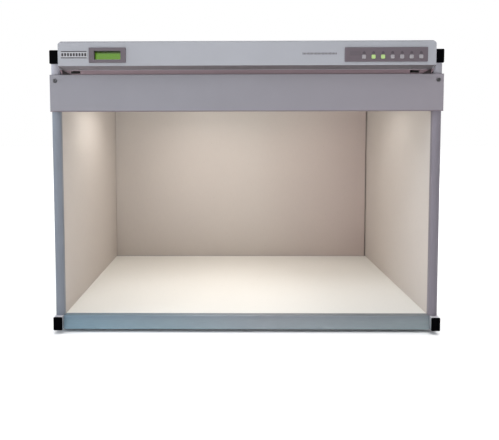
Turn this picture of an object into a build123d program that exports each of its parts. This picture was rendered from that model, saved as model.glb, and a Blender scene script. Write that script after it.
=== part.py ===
from build123d import *
import math
import os

# Colour-matching light booth: a free-standing viewing cabinet in which samples are
# compared by eye under switched lamps. Units are millimetres, +Z is up, -Y is the open
# front, and the origin is on the table under the middle of the overall box.

# ---- driving dimensions ----
CHAMBER_W = 671.0          # clear width between the side panels
CHAMBER_D = 400.0          # clear depth from the posts to the back wall
WALL_T = 15.5              # side panel and post thickness
POST_Y = -196.9            # front plane of the posts
FLOOR_Z = 32.0             # viewing floor above the table
BOARD_T = 18.0             # floor board
BACK_T = 10.0              # back wall board
SHEET_T = 1.2              # folded steel sheet
PANEL_TOP = 492.5          # top of the side panels

TUBE_W, TUBE_H, TUBE_WALL = 16.0, 24.5, 1.5     # aluminium frame tube section
TUBE_IN = 336.5            # inner face of the frame tubes, from the middle
BOTTOM_OVERHANG = 7.5      # bottom tubes stand this far past the posts and the back
TOP_OVERHANG = 0.5
PLUG_T, PLUG_DEPTH = 1.5, 12.0

RAIL_Z = 6.0               # underside of the front and rear rails
RAIL_T, RAIL_FLANGE = 1.2, 12.0
FOOT_R, FOOT_INSET = 14.0, 40.0

PELMET_Z, PELMET_H, PELMET_HALF = 407.0, 66.0, 352.0
PELMET_STANDOFF, PELMET_T = 4.0, 1.5
PELMET_SCREW = (342.0, 462.0)                   # X and Z of the two front screws

POD_HALF, POD_FRONT, POD_REAR = 330.0, POST_Y - 22.0, POST_Y + 13.0
POD_TOP, POD_LIP, POD_CHIN = 529.0, 486.0, 481.5   # top, front lower edge, rear lower edge
POD_T = 1.6
POD_CORNER, POD_ROUND = 5.5, 4.0
STRIP_Y = POST_Y - 1.5     # recessed strip between the pod and the pelmet
STRIP_SLOTS = (-305.5, 300.5)                   # middles of the two slots in the strip
SLOT_W, SLOT_Z = 17.0, (474.9, 479.6)
FOLD_RISE = 0.81           # how far a wall's inside rises at the pod's lower edge, per unit thickness

DISPLAY_X, DISPLAY_Z = -242.5, 504.2
BEZEL_W, BEZEL_H, BEZEL_T = 64.4, 26.0, 2.5
WINDOW_W, WINDOW_H, WINDOW_DEPTH = 46.4, 15.0, 8.5
KEYPAD_X, KEYPAD_Z, KEYPAD_W, KEYPAD_H, KEYPAD_T = 242.5, 503.9, 143.6, 24.6, 2.0
KEY_COUNT, KEY_X0, KEY_PITCH, KEY_Z = 7, 203.7, 16.45, 500.1
KEY_SIZE, KEY_ROUND, KEY_GAP, KEY_PROUD, KEY_TRAVEL = 6.8, 1.6, 0.3, 1.2, 0.8
PLATE_X, PLATE_Z, PLATE_W, PLATE_H, PLATE_T = -301.2, 505.4, 46.8, 12.7, 0.6

TRAY_Z = 496.0             # underside of the gear tray, the chamber's ceiling
TRAY_SIDE_TOP = 512.0
COVER_TOP = 526.0
COVER_HALF = 333.5         # the vented lid drops between the top tubes
VENT_ROWS, VENT_COUNT, VENT_X0, VENT_PITCH = (-70.0, 90.0), 22, -252.0, 24.0
REAR_VENT_COUNT, REAR_VENT_X0, REAR_VENT_PITCH = 30, -150.0, 14.0
LAMP_R, LAMP_LENGTH, LAMP_Z = 13.0, 589.8, 478.0   # T8 fluorescent lamp, 18 W class
LAMP_Y = (-128.0, -88.0, 8.0, 58.0, 108.0)
LAMP_CAP, PIN_R, PIN_OUT, PIN_HALF = 12.0, 1.15, 7.1, 6.35
BULB_Y, BULB_Z, BULB_R = -40.0, 462.0, 30.0        # tungsten lamp, A60 size
BULB_CAP_X, BULB_CAP_R, BULB_NECK, BULB_GLOBE = 322.0, 13.0, 27.0, 90.0

INLET_X, SWITCH_X, SOCKET_Z = -270.0, -225.0, 511.0
ROCKER_TILT = 12.0

# ---- worked-out places ----
HALF_IN = CHAMBER_W / 2
HALF_OUT = HALF_IN + WALL_T
BACK_Y = POST_Y + CHAMBER_D
REAR_Y = BACK_Y + BACK_T
SKIN_Y = REAR_Y + SHEET_T
TRIM_D = 10.0
FACE_Y = POST_Y - PELMET_STANDOFF
BOARD_Z = FLOOR_Z - BOARD_T
SIDES = (("left", -1), ("right", 1))


# ---- small helpers ----
def block(x, y, z):
    """A box from three (low, high) spans."""
    middle = [(low + high) / 2 for low, high in (x, y, z)]
    return Pos(*middle) * Box(x[1] - x[0], y[1] - y[0], z[1] - z[0])


def outboard(side, near, far):
    """The span from near to far, measured outwards from the middle plane on one side."""
    return tuple(sorted((side * near, side * far)))


def around(middle, width):
    """A span of one width about a middle."""
    return middle - width / 2, middle + width / 2


def rod_x(radius, x, y, z):
    """A cylinder along X over the span x."""
    return Pos((x[0] + x[1]) / 2, y, z) * Rot(0, 90, 0) * Cylinder(radius, x[1] - x[0])


def rod_y(radius, x, y, z):
    """A cylinder along Y over the span y."""
    return Pos(x, (y[0] + y[1]) / 2, z) * Rot(90, 0, 0) * Cylinder(radius, y[1] - y[0])


def rod_z(radius, x, y, z):
    """A cylinder along Z over the span z."""
    return Pos(x, y, (z[0] + z[1]) / 2) * Cylinder(radius, z[1] - z[0])


def prism_x(points, x):
    """A Y-Z outline swept along X over the span x."""
    face = make_face(Plane.YZ.offset(x[0]) * Polyline(*points, close=True))
    return extrude(face, amount=x[1] - x[0], dir=(1, 0, 0))


def prism_y(points, y):
    """An X-Z outline swept along Y over the span y."""
    face = make_face(Plane.XZ.offset(-y[0]) * Polyline(*points, close=True))
    return extrude(face, amount=y[1] - y[0], dir=(0, 1, 0))


def rounded_y(x, y, z, radius):
    """A box whose four edges along Y are rounded."""
    body = block(x, y, z)
    return fillet(body.edges().filter_by(Axis.Y), radius)


def group(pieces):
    """Separate solids that share one node."""
    return Compound(children=[Part(piece.wrapped) for piece in pieces])


# ---- frame screw places, shared by the tubes and the panels ----
FRAME_SCREW_X = HALF_IN + WALL_T / 2
FRAME_SCREW_Y = (POST_Y + 50, 0.0, REAR_Y - 50)
SCREW_R, SCREW_GAP = 2.0, 0.1
SCREW_INTO = 28.0


def screw_hole_z(side, y, z):
    return rod_z(SCREW_R + SCREW_GAP, side * FRAME_SCREW_X, y, z)


REAR_SCREWS = [(side * (HALF_OUT - 7), z) for side in (-1, 1) for z in (50, 195, 340, 475)]
FOOT_PLACES = [(x, y) for x in (-HALF_IN + FOOT_INSET, HALF_IN - FOOT_INSET)
               for y in (POST_Y + FOOT_INSET, REAR_Y - FOOT_INSET)]


# ---- base ----
def floor_panel():
    front, rear = POST_Y + RAIL_T, REAR_Y - RAIL_T
    board = block((-TUBE_IN, TUBE_IN), (front, rear), (BOARD_Z, FLOOR_Z))
    flush = (FLOOR_Z - RAIL_T, FLOOR_Z)
    board -= block((-TUBE_IN, TUBE_IN), (front, POST_Y + RAIL_FLANGE), flush)
    board -= block((-TUBE_IN, TUBE_IN), (REAR_Y - RAIL_FLANGE, rear), flush)
    for x, y in FOOT_PLACES:
        board -= rod_z(SCREW_R + SCREW_GAP, x, y, (BOARD_Z, BOARD_Z + 14))
    return board


def rail(face, inward):
    """Folded channel over a long edge of the floor board, its lips turned inward."""
    length = (-TUBE_IN + 0.5, TUBE_IN - 0.5)
    outer = block(length, tuple(sorted((face, face + inward * RAIL_FLANGE))), (RAIL_Z, FLOOR_Z))
    bends = [edge for edge in outer.edges().filter_by(Axis.X) if abs(edge.center().Y - face) < 0.01]
    outer = fillet(bends, 1.6)
    core = tuple(sorted((face + inward * RAIL_T, face + inward * (RAIL_FLANGE + 1))))
    return outer - block((length[0] - 1, length[1] + 1), core, (RAIL_Z + RAIL_T, FLOOR_Z - RAIL_T))


def foot(x, y):
    """Rubber foot, slightly tapered, bored for its screw."""
    body = Pos(x, y, 0) * Cone(FOOT_R - 1.5, FOOT_R, BOARD_Z, align=(Align.CENTER, Align.CENTER, Align.MIN))
    body = fillet(body.edges().sort_by(Axis.Z)[0], 1.0)
    body -= rod_z(SCREW_R + SCREW_GAP, x, y, (-1, BOARD_Z + 1))
    return body - rod_z(5.0, x, y, (-1, 7))


def foot_screw(x, y):
    return rod_z(4.0, x, y, (4.5, 7)) + rod_z(SCREW_R, x, y, (7, BOARD_Z + 13))


# ---- frame tubes and end plugs ----
def frame_tube(side, y, z0, top):
    """Rectangular tube along Y, with screw holes into the panel above or below it."""
    z = (z0, z0 + TUBE_H)
    tube = rounded_y(outboard(side, TUBE_IN, TUBE_IN + TUBE_W), y, z, 2.0)
    bore = outboard(side, TUBE_IN + TUBE_WALL, TUBE_IN + TUBE_W - TUBE_WALL)
    tube -= block(bore, (y[0] - 1, y[1] + 1), (z[0] + TUBE_WALL, z[1] - TUBE_WALL))
    panel_wall = (z[0] - 1, z[0] + 2) if top else (z[1] - 2, z[1] + 1)
    access = (z[1] - 2, z[1] + 1) if top else (z[0] - 1, z[0] + 2)
    for place in FRAME_SCREW_Y:
        tube -= screw_hole_z(side, place, panel_wall)
        tube -= rod_z(4.5, side * FRAME_SCREW_X, place, access)
    return tube


def frame_screw(side, y, top):
    """Screw from inside a tube into the edge of the side panel."""
    x = side * FRAME_SCREW_X
    if top:
        seat = PANEL_TOP + TUBE_WALL
        return rod_z(4.0, x, y, (seat, seat + 3)) + rod_z(SCREW_R, x, y, (PANEL_TOP - SCREW_INTO, seat))
    seat = FLOOR_Z - TUBE_WALL
    return rod_z(4.0, x, y, (seat - 3, seat)) + rod_z(SCREW_R, x, y, (seat, FLOOR_Z + SCREW_INTO))


def plug(side, mouth, outward, z0):
    """Black end plug: a rounded flange with a hollow stub that fills the tube."""
    x = outboard(side, TUBE_IN, TUBE_IN + TUBE_W)
    z = (z0, z0 + TUBE_H)
    flange = rounded_y(x, tuple(sorted((mouth, mouth + outward * PLUG_T))), z, 2.0)
    face = [edge for edge in flange.edges() if abs(edge.center().Y - mouth - outward * PLUG_T) < 0.01]
    flange = fillet(face, 0.6)
    wall = TUBE_WALL + 0.1
    stub_y = tuple(sorted((mouth, mouth - outward * PLUG_DEPTH)))
    stub = block((x[0] + wall, x[1] - wall), stub_y, (z[0] + wall, z[1] - wall))
    hollow = (stub_y[0] - 1, stub_y[1]) if outward > 0 else (stub_y[0], stub_y[1] + 1)
    wall += 1.5
    return flange + (stub - block((x[0] + wall, x[1] - wall), hollow, (z[0] + wall, z[1] - wall)))


BOTTOM_TUBE_Z = FLOOR_Z - TUBE_H
BOTTOM_TUBE_Y = (POST_Y - BOTTOM_OVERHANG, REAR_Y + BOTTOM_OVERHANG)
TOP_TUBE_Y = (POST_Y - TOP_OVERHANG, REAR_Y + TOP_OVERHANG)


# ---- side panels, posts and back ----
def side_panel(side):
    panel = block(outboard(side, HALF_IN, HALF_OUT), (POST_Y + TRIM_D, REAR_Y), (FLOOR_Z, PANEL_TOP))
    for y in FRAME_SCREW_Y:
        panel -= screw_hole_z(side, y, (FLOOR_Z - 1, FLOOR_Z + SCREW_INTO + 1))
        panel -= screw_hole_z(side, y, (PANEL_TOP - SCREW_INTO - 1, PANEL_TOP + 1))
    for x, z in REAR_SCREWS:
        if x * side > 0:
            panel -= rod_y(SCREW_R + SCREW_GAP, x, (REAR_Y - 12, REAR_Y + 1), z)
    return panel


def edge_trim(side):
    """Bull-nosed post profile that closes the front edge of a side panel."""
    near, far = side * HALF_IN, side * HALF_OUT
    back, shoulder = POST_Y + TRIM_D, POST_Y + 3.0
    outline = Polyline((near, shoulder), (near, back), (far, back), (far, shoulder))
    nose = ThreePointArc((far, shoulder), ((near + far) / 2, POST_Y), (near, shoulder))
    face = make_face(Plane.XY.offset(FLOOR_Z) * (outline + nose))
    post = extrude(face, amount=PANEL_TOP - FLOOR_Z, dir=(0, 0, 1))
    groove = outboard(side, HALF_IN + 2.5, HALF_OUT - 2.5)
    post -= block(groove, (POST_Y + 5.5, back + 1), (FLOOR_Z - 1, PANEL_TOP + 1))
    x, z = PELMET_SCREW
    return post - rod_y(SCREW_R + SCREW_GAP, side * x, (POST_Y - 1, POST_Y + 8), z)


def back_panel():
    """Back wall, set 0.7 mm off the left panel and 2.7 mm off the right one."""
    return block((-HALF_IN + 0.7, HALF_IN - 2.7), (BACK_Y, REAR_Y), (FLOOR_Z, TRAY_Z - 0.5))


def rear_cover():
    """Outer back sheet: wide below the top tubes, narrow and vented behind the gear tray."""
    sheet = (REAR_Y, SKIN_Y)
    cover = block((-HALF_OUT + 1.5, HALF_OUT - 1.5), sheet, (FLOOR_Z + 1, PANEL_TOP - 1.5))
    cover += block((-COVER_HALF, COVER_HALF), sheet, (PANEL_TOP - 2, COVER_TOP - SHEET_T))
    through = (REAR_Y - 1, SKIN_Y + 1)
    for index in range(REAR_VENT_COUNT):
        x = REAR_VENT_X0 + REAR_VENT_PITCH * index
        cover -= rounded_y(around(x, 4), through, (503, 519), 1.9)
    for x, z in REAR_SCREWS:
        cover -= rod_y(SCREW_R + SCREW_GAP, x, through, z)
    cover -= block(around(INLET_X, INLET_BODY[0]), through, around(SOCKET_Z, INLET_BODY[1]))
    return cover - block(around(SWITCH_X, SWITCH_BODY[0]), through, around(SOCKET_Z, SWITCH_BODY[1]))


def rear_screw(x, z):
    head = rod_y(3.6, x, (SKIN_Y, SKIN_Y + 2.2), z)
    head = fillet(head.edges().sort_by(Axis.Y)[-1], 1.0)
    head -= rounded_y(around(x, 3.6), (SKIN_Y + 1.0, SKIN_Y + 3), around(z, 0.9), 0.2)
    head -= rounded_y(around(x, 0.9), (SKIN_Y + 1.0, SKIN_Y + 3), around(z, 3.6), 0.2)
    return head + rod_y(SCREW_R, x, (REAR_Y - 10, SKIN_Y), z)


# ---- lamp house ----
def gear_tray():
    """White tray between the top tubes: its underside is the chamber's ceiling."""
    top = TRAY_Z + SHEET_T
    x, y = (-TUBE_IN + 0.5, TUBE_IN - 0.5), (POD_REAR, REAR_Y - 1)
    tray = block(x, y, (TRAY_Z, top))
    for _, side in SIDES:
        tray += block(outboard(side, x[1] - SHEET_T, x[1]), y, (TRAY_Z, TRAY_SIDE_TOP))
    return tray + block((-POD_HALF, POD_HALF), (y[0], y[0] + SHEET_T), (TRAY_Z, POD_TOP - POD_T - 0.2))


def front_reflector():
    """Sloping white sheet behind the pelmet that keeps stray light out of the pod."""
    low, high, sheet = (POST_Y + 13.0, 412.0), (POST_Y + 47.0, TRAY_Z - 0.3), 1.0
    points = [low, (low[0] + sheet, low[1]), (high[0] + sheet, high[1]), high]
    return prism_x(points, (-HALF_IN + 1, HALF_IN - 1))


def top_cover():
    """Vented lid over the gear tray, its skirts inside the tray's flanges."""
    x, y = (-COVER_HALF, COVER_HALF), (POD_REAR + SHEET_T + 0.3, SKIN_Y)
    lid = block(x, y, (COVER_TOP - SHEET_T, COVER_TOP))
    for _, side in SIDES:
        lid += block(outboard(side, x[1] - SHEET_T, x[1]), (y[0], REAR_Y - 1), (500, COVER_TOP))
    for row in VENT_ROWS:
        for index in range(VENT_COUNT):
            slot_x = around(VENT_X0 + VENT_PITCH * index, 5)
            slot = block(slot_x, around(row, 70), (COVER_TOP - 3, COVER_TOP + 1))
            lid -= fillet(slot.edges().filter_by(Axis.Z), 2.4)
    return lid


def lamp(y):
    """Fluorescent lamp glass between its two end caps."""
    half = LAMP_LENGTH / 2 - LAMP_CAP
    glass = rod_x(LAMP_R, (-half, half), y, LAMP_Z)
    return glass - rod_x(LAMP_R - 0.8, (-half - 1, half + 1), y, LAMP_Z)


def lamp_cap(side, y):
    """Metal end cap with its two contact pins."""
    face = LAMP_LENGTH / 2
    cap = rod_x(LAMP_R, outboard(side, face - LAMP_CAP, face), y, LAMP_Z)
    rim = [edge for edge in cap.edges() if abs(abs(edge.center().X) - face) < 0.01]
    cap = fillet(rim, 1.5)
    for z in (LAMP_Z - PIN_HALF, LAMP_Z + PIN_HALF):
        cap += rod_x(PIN_R, outboard(side, face - 2, face + PIN_OUT), y, z)
    return cap


def lamp_holder(side, y):
    """Upright lampholder hung from the tray, bored for the two pins."""
    near = LAMP_LENGTH / 2 + 0.4
    x = outboard(side, near, near + 13.5)
    body = block(x, around(y, 22), (LAMP_Z - 15, TRAY_Z))
    body = fillet(body.edges().filter_by(Axis.X).group_by(Axis.Z)[0], 6.0)
    for z in (LAMP_Z - PIN_HALF, LAMP_Z + PIN_HALF):
        body -= rod_x(PIN_R + 0.25, outboard(side, near - 1, near + 8.5), y, z)
    return body


def bulb_outline(inset):
    """Half section of the tungsten lamp: cap, cone and globe, along its axis."""
    radius, neck = BULB_R - inset, BULB_CAP_R - inset
    globe = BULB_GLOBE - BULB_R
    lean = math.radians(140)
    join = (globe + radius * math.cos(lean), radius * math.sin(lean))
    line = Polyline(join, (BULB_NECK, neck), (inset, neck), (inset, 0), (globe + radius, 0))
    middle = math.radians(70)
    arc = ThreePointArc((globe + radius, 0),
                        (globe + radius * math.cos(middle), radius * math.sin(middle)), join)
    return make_face(line + arc)


def bulb(side):
    """Tungsten lamp lying along X, cap outwards and globe towards the middle."""
    shape = revolve(bulb_outline(0.0), Axis.X) - revolve(bulb_outline(0.9), Axis.X)
    turned = Rot(0, 0, 180) * shape if side > 0 else shape
    return Pos(side * BULB_CAP_X, BULB_Y, BULB_Z) * turned


def bulb_holder(side):
    """Ceramic lampholder cup on a bracket under the tray."""
    cup = rod_x(20.0, outboard(side, BULB_CAP_X - 24, BULB_CAP_X + 5), BULB_Y, BULB_Z)
    cup -= rod_x(BULB_CAP_R + 0.6, outboard(side, BULB_CAP_X - 25, BULB_CAP_X + 0.3), BULB_Y, BULB_Z)
    bracket = block(outboard(side, BULB_CAP_X + 3, BULB_CAP_X + 5), around(BULB_Y, 30), (BULB_Z, TRAY_Z))
    return cup + bracket


def ballast(y):
    """Electronic ballast on the tray, with a screw lug at each end."""
    z = TRAY_Z + SHEET_T
    body = rounded_y(around(60, 260), around(y, 30), (z, z + 21), 1.0)
    lug = block(around(60, 280), around(y, 12), (z, z + 1.5))
    for x in (-75, 195):
        lug -= rod_z(2.2, x, y, (z - 1, z + 3))
    return body + lug


# ---- pelmet ----
def pelmet():
    """Folded front apron that hides the lamps, standing off the posts on its edge lips."""
    half, inside = PELMET_HALF, HALF_IN - 1
    z = (PELMET_Z, PELMET_Z + PELMET_H)
    apron = block((-half, half), (FACE_Y, POST_Y), z)
    apron = fillet(apron.faces().sort_by(Axis.Y)[0].edges(), 1.0)
    core_x = (-half + PELMET_T, half - PELMET_T)
    apron -= block(core_x, (FACE_Y + PELMET_T, POST_Y + 1), (z[0] + PELMET_T, z[1] - PELMET_T))
    apron += block((-inside, inside), (POST_Y - 1, POST_Y + 12), (z[0], z[0] + PELMET_T))
    apron += block((-inside, inside), (POST_Y + 10.5, POST_Y + 12), (z[0], z[0] + 12))
    apron += block((-inside, inside), (POST_Y - 1, POST_Y + 8), (z[1] - PELMET_T, z[1]))
    for _, side in SIDES:
        x, level = side * PELMET_SCREW[0], PELMET_SCREW[1]
        apron -= rod_y(SCREW_R + SCREW_GAP, x, (FACE_Y - 1, POST_Y), level)
    return apron


def pelmet_screw(side):
    x, z = side * PELMET_SCREW[0], PELMET_SCREW[1]
    head = rod_y(3.6, x, (FACE_Y - 2.0, FACE_Y), z)
    head = fillet(head.edges().sort_by(Axis.Y)[0], 1.2)
    head -= rod_y(1.5, x, (FACE_Y - 3.0, FACE_Y - 0.8), z)
    return head + rod_y(SCREW_R, x, (FACE_Y, POST_Y + 7), z)


# ---- control pod ----
def pod_block(inset, rear, foot_z):
    """The pod's volume, shrunk by a wall thickness, with its corners cut and rounded."""
    front, top = POD_FRONT + inset, POD_TOP - inset
    rise = inset * FOLD_RISE
    points = [(front, POD_LIP + rise), (front, top), (rear, top), (rear, foot_z),
              (STRIP_Y + inset, foot_z), (STRIP_Y + inset, POD_CHIN + rise)]
    body = prism_x(points, (-POD_HALF + inset, POD_HALF - inset))
    ends = [edge for edge in body.edges().filter_by(Axis.Y) if edge.center().Z > top - 0.01]
    body = chamfer(ends, POD_CORNER - inset * 0.6)
    brow = [edge for edge in body.edges().filter_by(Axis.X)
            if abs(edge.center().Y - front) < 0.01 and edge.center().Z > top - 0.01]
    return fillet(brow, POD_ROUND - inset)


def pod_shell():
    """Folded pod: face, brow and chin in one sheet, with closed ends and a lower strip."""
    strip_foot = PELMET_Z + PELMET_H
    shell = pod_block(0.0, POD_REAR, strip_foot)
    cheeks = [edge for edge in shell.edges().filter_by(Axis.Z)
              if abs(edge.center().Y - POD_FRONT) < 0.01 and edge.length > 20]
    shell = fillet(cheeks, 1.5)
    shell -= pod_block(POD_T, POD_REAR + 5, strip_foot - 5)
    gusset = [(POD_FRONT + 1, POD_LIP), (STRIP_Y, POD_CHIN), (STRIP_Y, strip_foot)]
    for _, side in SIDES:
        shell += prism_x(gusset, outboard(side, POD_HALF - POD_T, POD_HALF))
    for middle in STRIP_SLOTS:
        shell -= block(around(middle, SLOT_W), (STRIP_Y - 1, STRIP_Y + 3), SLOT_Z)
    through = (POD_FRONT - 1, POD_FRONT + 3)
    shell -= block(around(DISPLAY_X, WINDOW_W + 5), through, around(DISPLAY_Z, WINDOW_H + 5))
    keys_mid = KEY_X0 + KEY_PITCH * (KEY_COUNT - 1) / 2
    return shell - block(around(keys_mid, KEY_PITCH * 7), through, around(KEY_Z, 11))


def pod_bracket(side):
    """Dark triangular bracket in the corner under each end of the pod."""
    inner, foot_z = POD_HALF - POD_T, PELMET_Z + PELMET_H
    points = [(side * inner, foot_z + 7.6), (side * inner, foot_z), (side * (inner - 15.5), foot_z)]
    return prism_y(points, (STRIP_Y - 3.0, STRIP_Y))


def nameplate():
    return rounded_y(around(PLATE_X, PLATE_W), (POD_FRONT - PLATE_T, POD_FRONT),
                     around(PLATE_Z, PLATE_H), 0.8)


def display_bezel():
    """Raised frame with a deep collar that the display is seen through."""
    frame = rounded_y(around(DISPLAY_X, BEZEL_W), (POD_FRONT - BEZEL_T, POD_FRONT),
                      around(DISPLAY_Z, BEZEL_H), 1.0)
    frame = chamfer(frame.faces().sort_by(Axis.Y)[0].edges(), 0.5)
    collar_end = POD_FRONT - BEZEL_T + WINDOW_DEPTH
    frame += block(around(DISPLAY_X, WINDOW_W + 4), (POD_FRONT - 1, collar_end),
                   around(DISPLAY_Z, WINDOW_H + 4))
    hole = (POD_FRONT - BEZEL_T - 1, collar_end + 1)
    return frame - block(around(DISPLAY_X, WINDOW_W), hole, around(DISPLAY_Z, WINDOW_H))


def display_window():
    """Clear pane behind the collar."""
    near = POD_FRONT - BEZEL_T + WINDOW_DEPTH
    return block(around(DISPLAY_X, WINDOW_W + 4), (near, near + 1.0), around(DISPLAY_Z, WINDOW_H + 4))


def display_module():
    """Backlit liquid-crystal module on its circuit board."""
    near = POD_FRONT - BEZEL_T + WINDOW_DEPTH + 1.0
    cell = block(around(DISPLAY_X, WINDOW_W + 6), (near, near + 5), around(DISPLAY_Z, WINDOW_H + 6))
    board = block(around(DISPLAY_X, 72), (near + 5, near + 6.6), around(DISPLAY_Z, 32))
    return cell + board


def key_place(index):
    return KEY_X0 + KEY_PITCH * index


def key_panel():
    """Raised dark fascia with a square hole for every key."""
    plate = rounded_y(around(KEYPAD_X, KEYPAD_W), (POD_FRONT - KEYPAD_T, POD_FRONT),
                      around(KEYPAD_Z, KEYPAD_H), 1.0)
    plate = chamfer(plate.faces().sort_by(Axis.Y)[0].edges(), 0.5)
    hole, through = KEY_SIZE + 2 * KEY_GAP, (POD_FRONT - KEYPAD_T - 1, POD_FRONT + 1)
    for index in range(KEY_COUNT):
        plate -= rounded_y(around(key_place(index), hole), through, around(KEY_Z, hole), KEY_ROUND + KEY_GAP)
    return plate


KEY_FACE = POD_FRONT - KEYPAD_T - KEY_PROUD
STEM_END = POD_FRONT + 6.0
STEM_R = 1.75


def key(index):
    """Push key: a rounded square cap, a hidden retaining flange and a plunger stem."""
    x = key_place(index)
    cap = rounded_y(around(x, KEY_SIZE), (KEY_FACE, POD_FRONT + 1.6), around(KEY_Z, KEY_SIZE), KEY_ROUND)
    cap = fillet(cap.faces().sort_by(Axis.Y)[0].edges(), 0.7)
    flange = rounded_y(around(x, KEY_SIZE + 2.4), (POD_FRONT + 0.1, POD_FRONT + 1.6),
                       around(KEY_Z, KEY_SIZE + 2.4), KEY_ROUND)
    return cap + flange + rod_y(STEM_R, x, (POD_FRONT + 1.6, STEM_END), KEY_Z)


def key_board():
    """Circuit board with one switch body per key, each bored for the key's stem."""
    switch_y = (STEM_END - 1.0, STEM_END + 2.5)
    board_y = (switch_y[1], switch_y[1] + 1.6)
    board = block(around(KEYPAD_X, 150), board_y, around(KEYPAD_Z, 20))
    for index in range(KEY_COUNT):
        x = key_place(index)
        board += block(around(x, 6), switch_y, around(KEY_Z, 6))
        board -= rod_y(STEM_R + 0.08, x, (switch_y[0] - 1, STEM_END + KEY_TRAVEL + 0.3), KEY_Z)
    return board


def control_board():
    """Main circuit board on four pillars over the tray, with relays and a transformer."""
    base = TRAY_Z + SHEET_T
    level = base + 5
    x, y = around(-120, 170), around(-125, 80)
    board = block(x, y, (level, level + 1.6))
    for px in (x[0] + 6, x[1] - 6):
        for py in (y[0] + 6, y[1] - 6):
            board += rod_z(2.5, px, py, (base, level))
    for index in range(5):
        board += block(around(x[0] + 22 + 20 * index, 15), around(y[1] - 16, 19), (level + 1.6, level + 17))
    board += block(around(x[1] - 28, 36), around(y[1] - 24, 30), (level + 1.6, level + 18))
    board += block(around(-135, 90), around(y[0] + 8, 9), (level + 1.6, level + 12))
    return board


# ---- mains inlet and power switch ----
INLET_BODY, INLET_SOCKET, INLET_DEPTH = (27.2, 20.0), (24.4, 16.0), 15.0
SWITCH_BODY = (19.6, 13.4)
PIVOT_Y = SKIN_Y
PIVOT_R = 1.2


def mains_inlet():
    """Panel inlet: flanged shell, a deep socket and three flat pins."""
    shell = rounded_y(around(INLET_X, 31), (SKIN_Y, SKIN_Y + 2), around(SOCKET_Z, 23.5), 2.0)
    shell += block(around(INLET_X, INLET_BODY[0] - 0.2), (SKIN_Y - 16, SKIN_Y),
                   around(SOCKET_Z, INLET_BODY[1] - 0.2))
    bottom = SKIN_Y + 2 - INLET_DEPTH
    socket = block(around(INLET_X, INLET_SOCKET[0]), (bottom, SKIN_Y + 3), around(SOCKET_Z, INLET_SOCKET[1]))
    lower = [edge for edge in socket.edges().filter_by(Axis.Y) if edge.center().Z < SOCKET_Z]
    shell -= chamfer(lower, 4.0)
    for x, z in ((-7, -2), (0, 2), (7, -2)):
        shell += block(around(INLET_X + x, 2), (bottom - 1, SKIN_Y), around(SOCKET_Z + z, 4))
    return shell


def rocker_frame():
    """Bezel and body of the power switch, with blind bores for the rocker's pivots."""
    frame = rounded_y(around(SWITCH_X, 22), (SKIN_Y, SKIN_Y + 2), around(SOCKET_Z, 16), 1.5)
    frame += block(around(SWITCH_X, SWITCH_BODY[0] - 0.2), (SKIN_Y - 18, SKIN_Y),
                   around(SOCKET_Z, SWITCH_BODY[1] - 0.2))
    frame -= block(around(SWITCH_X, 17.4), (PIVOT_Y - 7, SKIN_Y + 3), around(SOCKET_Z, 11.0))
    return frame - rod_z(PIVOT_R + 0.05, SWITCH_X, PIVOT_Y, around(SOCKET_Z, 12.6))


def power_rocker():
    """Rocker with a shallow V face, drawn in its switched-on tilt."""
    face = [(-7.2, 4.4), (0.0, 2.9), (7.2, 4.4), (7.2, -1.0), (3.0, -5.0), (-3.0, -5.0), (-7.2, -1.0)]
    outline = make_face(Polyline(*face, close=True))
    body = Pos(0, 0, -5.2) * extrude(outline, amount=10.4, dir=(0, 0, 1))
    body += Cylinder(PIVOT_R, 12.2)
    return Pos(SWITCH_X, PIVOT_Y, SOCKET_Z) * Rot(0, 0, ROCKER_TILT) * body


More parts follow.
